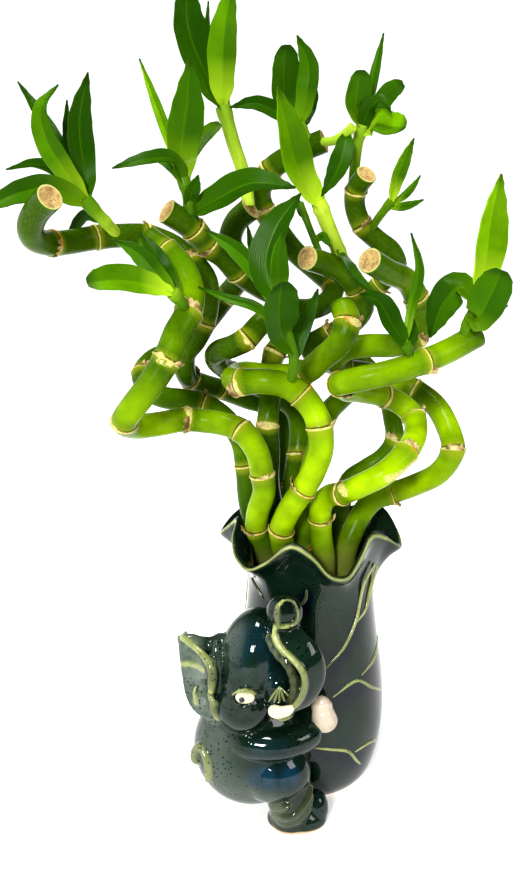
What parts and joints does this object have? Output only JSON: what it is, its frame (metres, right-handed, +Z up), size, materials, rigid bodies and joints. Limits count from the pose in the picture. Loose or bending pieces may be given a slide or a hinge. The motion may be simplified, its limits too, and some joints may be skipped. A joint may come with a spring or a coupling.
{
  "type": "potted lucky bamboo",
  "caption": "Spiral lucky bamboo stalks with leafy shoots standing in a wavy-rimmed, leaf-shaped glazed vase that a small sitting elephant hugs",
  "frame": {"origin": "middle of the vase's flat base, on the surface it stands on", "axes": "+Z up along the vase and the plant, -Y towards the viewer's side where the elephant sits, +X to the viewer's right"},
  "size_m": [0.2482, 0.1324, 0.4321],
  "materials": {
    "glaze": "glossy dark green",
    "water": "clear",
    "stalk": "satin green",
    "leaf": "satin green"
  },
  "bodies": {
    "root": {"vase": "glaze", "water": "water", "stalk_01": "stalk", "stalk_02": "stalk", "stalk_03": "stalk", "stalk_04": "stalk", "stalk_05": "stalk", "stalk_06": "stalk", "stalk_07": "stalk", "stalk_08": "stalk", "stalk_09": "stalk", "stalk_10": "stalk", "shoot_far_left": "leaf", "shoot_left_low": "leaf", "shoot_left_tall": "leaf", "shoot_top_left": "leaf", "shoot_centre_tall": "leaf", "shoot_top_middle": "leaf", "shoot_top_drooping": "leaf", "shoot_top_right": "leaf", "shoot_right_small": "leaf", "shoot_right_inner": "leaf", "shoot_far_right": "leaf", "shoot_centre_front": "leaf", "shoot_centre_twig": "leaf"}
  },
  "joints": []
}
